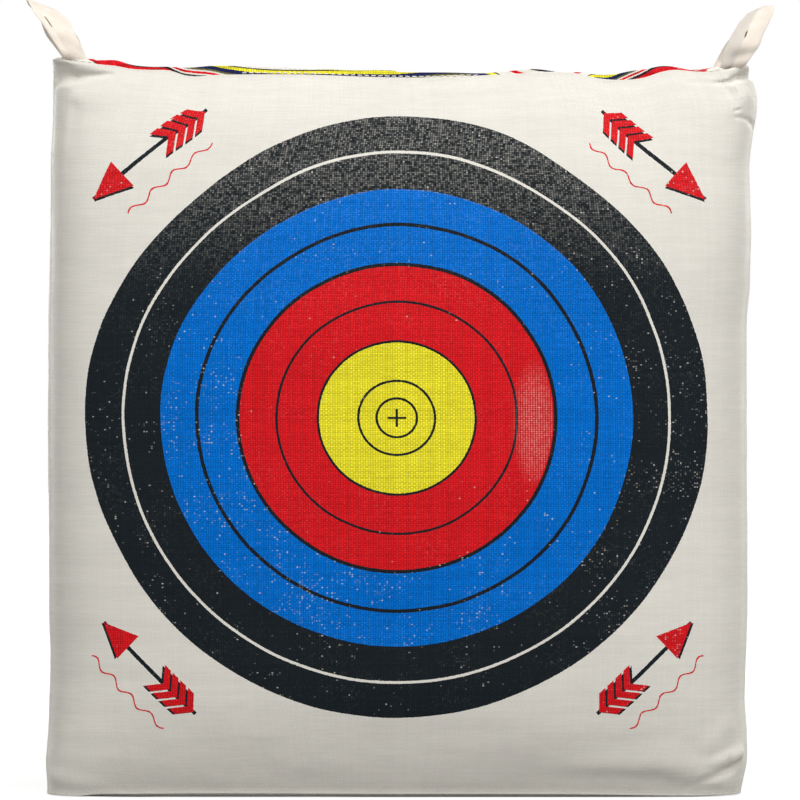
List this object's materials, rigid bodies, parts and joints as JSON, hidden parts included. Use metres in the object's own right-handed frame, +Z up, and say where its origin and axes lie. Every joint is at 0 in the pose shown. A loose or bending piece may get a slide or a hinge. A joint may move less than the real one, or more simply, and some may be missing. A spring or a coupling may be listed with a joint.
{
  "type": "archery target boss",
  "caption": "Free-standing stuffed bag target for archery: a squarish woven cover with a printed ring face, packed with fibre, and a swinging cloth carrying loop at each side of the top.",
  "frame": {"origin": "middle of the footprint, on the ground under the bottom panel", "axes": "+Z up, -Y the way the printed face looks, +X to the right as an archer sees the face"},
  "size_m": [0.7872, 0.356, 0.8296],
  "materials": {
    "cover_cloth": "woven flat plastic tape, off-white, screen printed in yellow, red, blue and black",
    "strap_cloth": "folded woven cloth, cream, matte",
    "thread": "twisted white sewing thread",
    "liner_cloth": "plain coarse sacking",
    "face_pad": "layers of pressed waste cloth",
    "fibre_filling": "rammed mixed fibre"
  },
  "bodies": {
    "bag": {"front_panel": "cover_cloth", "back_panel": "cover_cloth", "left_side_panel": "cover_cloth", "right_side_panel": "cover_cloth", "top_panel": "cover_cloth", "bottom_panel": "cover_cloth", "top_front_stitching": "thread", "top_right_stitching": "thread", "top_back_stitching": "thread", "top_left_stitching": "thread", "bottom_front_stitching": "thread", "bottom_right_stitching": "thread", "bottom_back_stitching": "thread", "bottom_left_stitching": "thread", "front_right_upright_stitching": "thread", "rear_right_upright_stitching": "thread", "rear_left_upright_stitching": "thread", "front_left_upright_stitching": "thread", "right_front_strap_tail": "strap_cloth", "right_rear_strap_tail": "strap_cloth", "left_rear_strap_tail": "strap_cloth", "left_front_strap_tail": "strap_cloth", "right_front_tail_tack": "thread", "right_rear_tail_tack": "thread", "left_rear_tail_tack": "thread", "left_front_tail_tack": "thread", "liner_sack": "liner_cloth", "liner_lid": "liner_cloth", "liner_closing_thread": "thread", "front_face_pad": "face_pad", "rear_face_pad": "face_pad", "fill_charge_1": "fibre_filling", "fill_charge_2": "fibre_filling", "fill_charge_3": "fibre_filling", "fill_charge_4": "fibre_filling", "fill_charge_5": "fibre_filling", "fill_charge_6": "fibre_filling", "fill_charge_7": "fibre_filling", "fill_charge_8": "fibre_filling"},
    "left_loop": {"left_handle_strap": "strap_cloth"},
    "right_loop": {"right_handle_strap": "strap_cloth"}
  },
  "joints": [
    {"name": "left_handle_swing", "type": "hinge", "parent": "bag", "child": "left_loop", "pos_m": [-0.338, 0, 0.762], "axis": [0, -1, 0], "range_deg": [-116, 75]},
    {"name": "right_handle_swing", "type": "hinge", "parent": "bag", "child": "right_loop", "pos_m": [0.338, 0, 0.762], "axis": [0, 1, 0], "range_deg": [-116, 75]}
  ]
}
